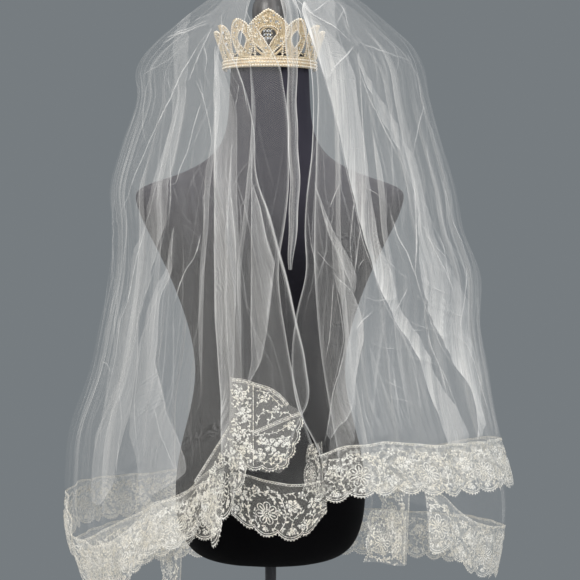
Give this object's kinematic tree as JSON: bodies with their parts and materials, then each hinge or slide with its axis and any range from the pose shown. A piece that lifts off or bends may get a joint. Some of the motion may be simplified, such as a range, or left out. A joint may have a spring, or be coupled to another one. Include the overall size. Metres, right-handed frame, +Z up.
{
  "type": "bridal veil on a dress form",
  "caption": "Two-tier tulle bridal veil with scalloped lace edging and a beaded tiara, draped over a limbless dress form on a round stand.",
  "frame": {"origin": "centre of the stand base's underside", "axes": "+Z up along the pole, the veil opens towards -Y, +X to the viewer's right when looking at its front"},
  "size_m": [0.6387, 0.3897, 0.986],
  "materials": {
    "tulle": "fine soft net, slightly shiny at its folds",
    "lace": "matt corded floral lace",
    "satin": "satin binding",
    "champagne": "polished pale gold wire with pearls and crystals",
    "jersey": "black stretch jersey cover",
    "cap": "satin black",
    "wood": "turned and varnished",
    "steel": "black powder coat"
  },
  "bodies": {
    "root": {"upper_tier_left": "tulle", "upper_tier_right": "tulle", "upper_tier_back": "tulle", "lower_tier_left": "tulle", "lower_tier_right": "tulle", "lower_tier_back": "tulle", "lower_tier_folded_edge": "tulle", "upper_lace_left": "lace", "upper_lace_right": "lace", "upper_lace_back": "lace", "lower_lace_left": "lace", "lower_lace_right": "lace", "lower_lace_back": "lace", "flap_lace": "lace", "veil_comb": "satin", "tiara_band": "champagne", "tiara_peak": "champagne", "tiara_heart": "champagne", "tiara_arch_left": "champagne", "tiara_arch_right": "champagne", "tiara_scroll_left": "champagne", "tiara_scroll_right": "champagne", "tiara_column_left": "champagne", "tiara_column_right": "champagne", "dress_form": "jersey", "neck_cap": "cap", "finial": "wood", "pole": "steel", "base": "steel"}
  },
  "joints": []
}
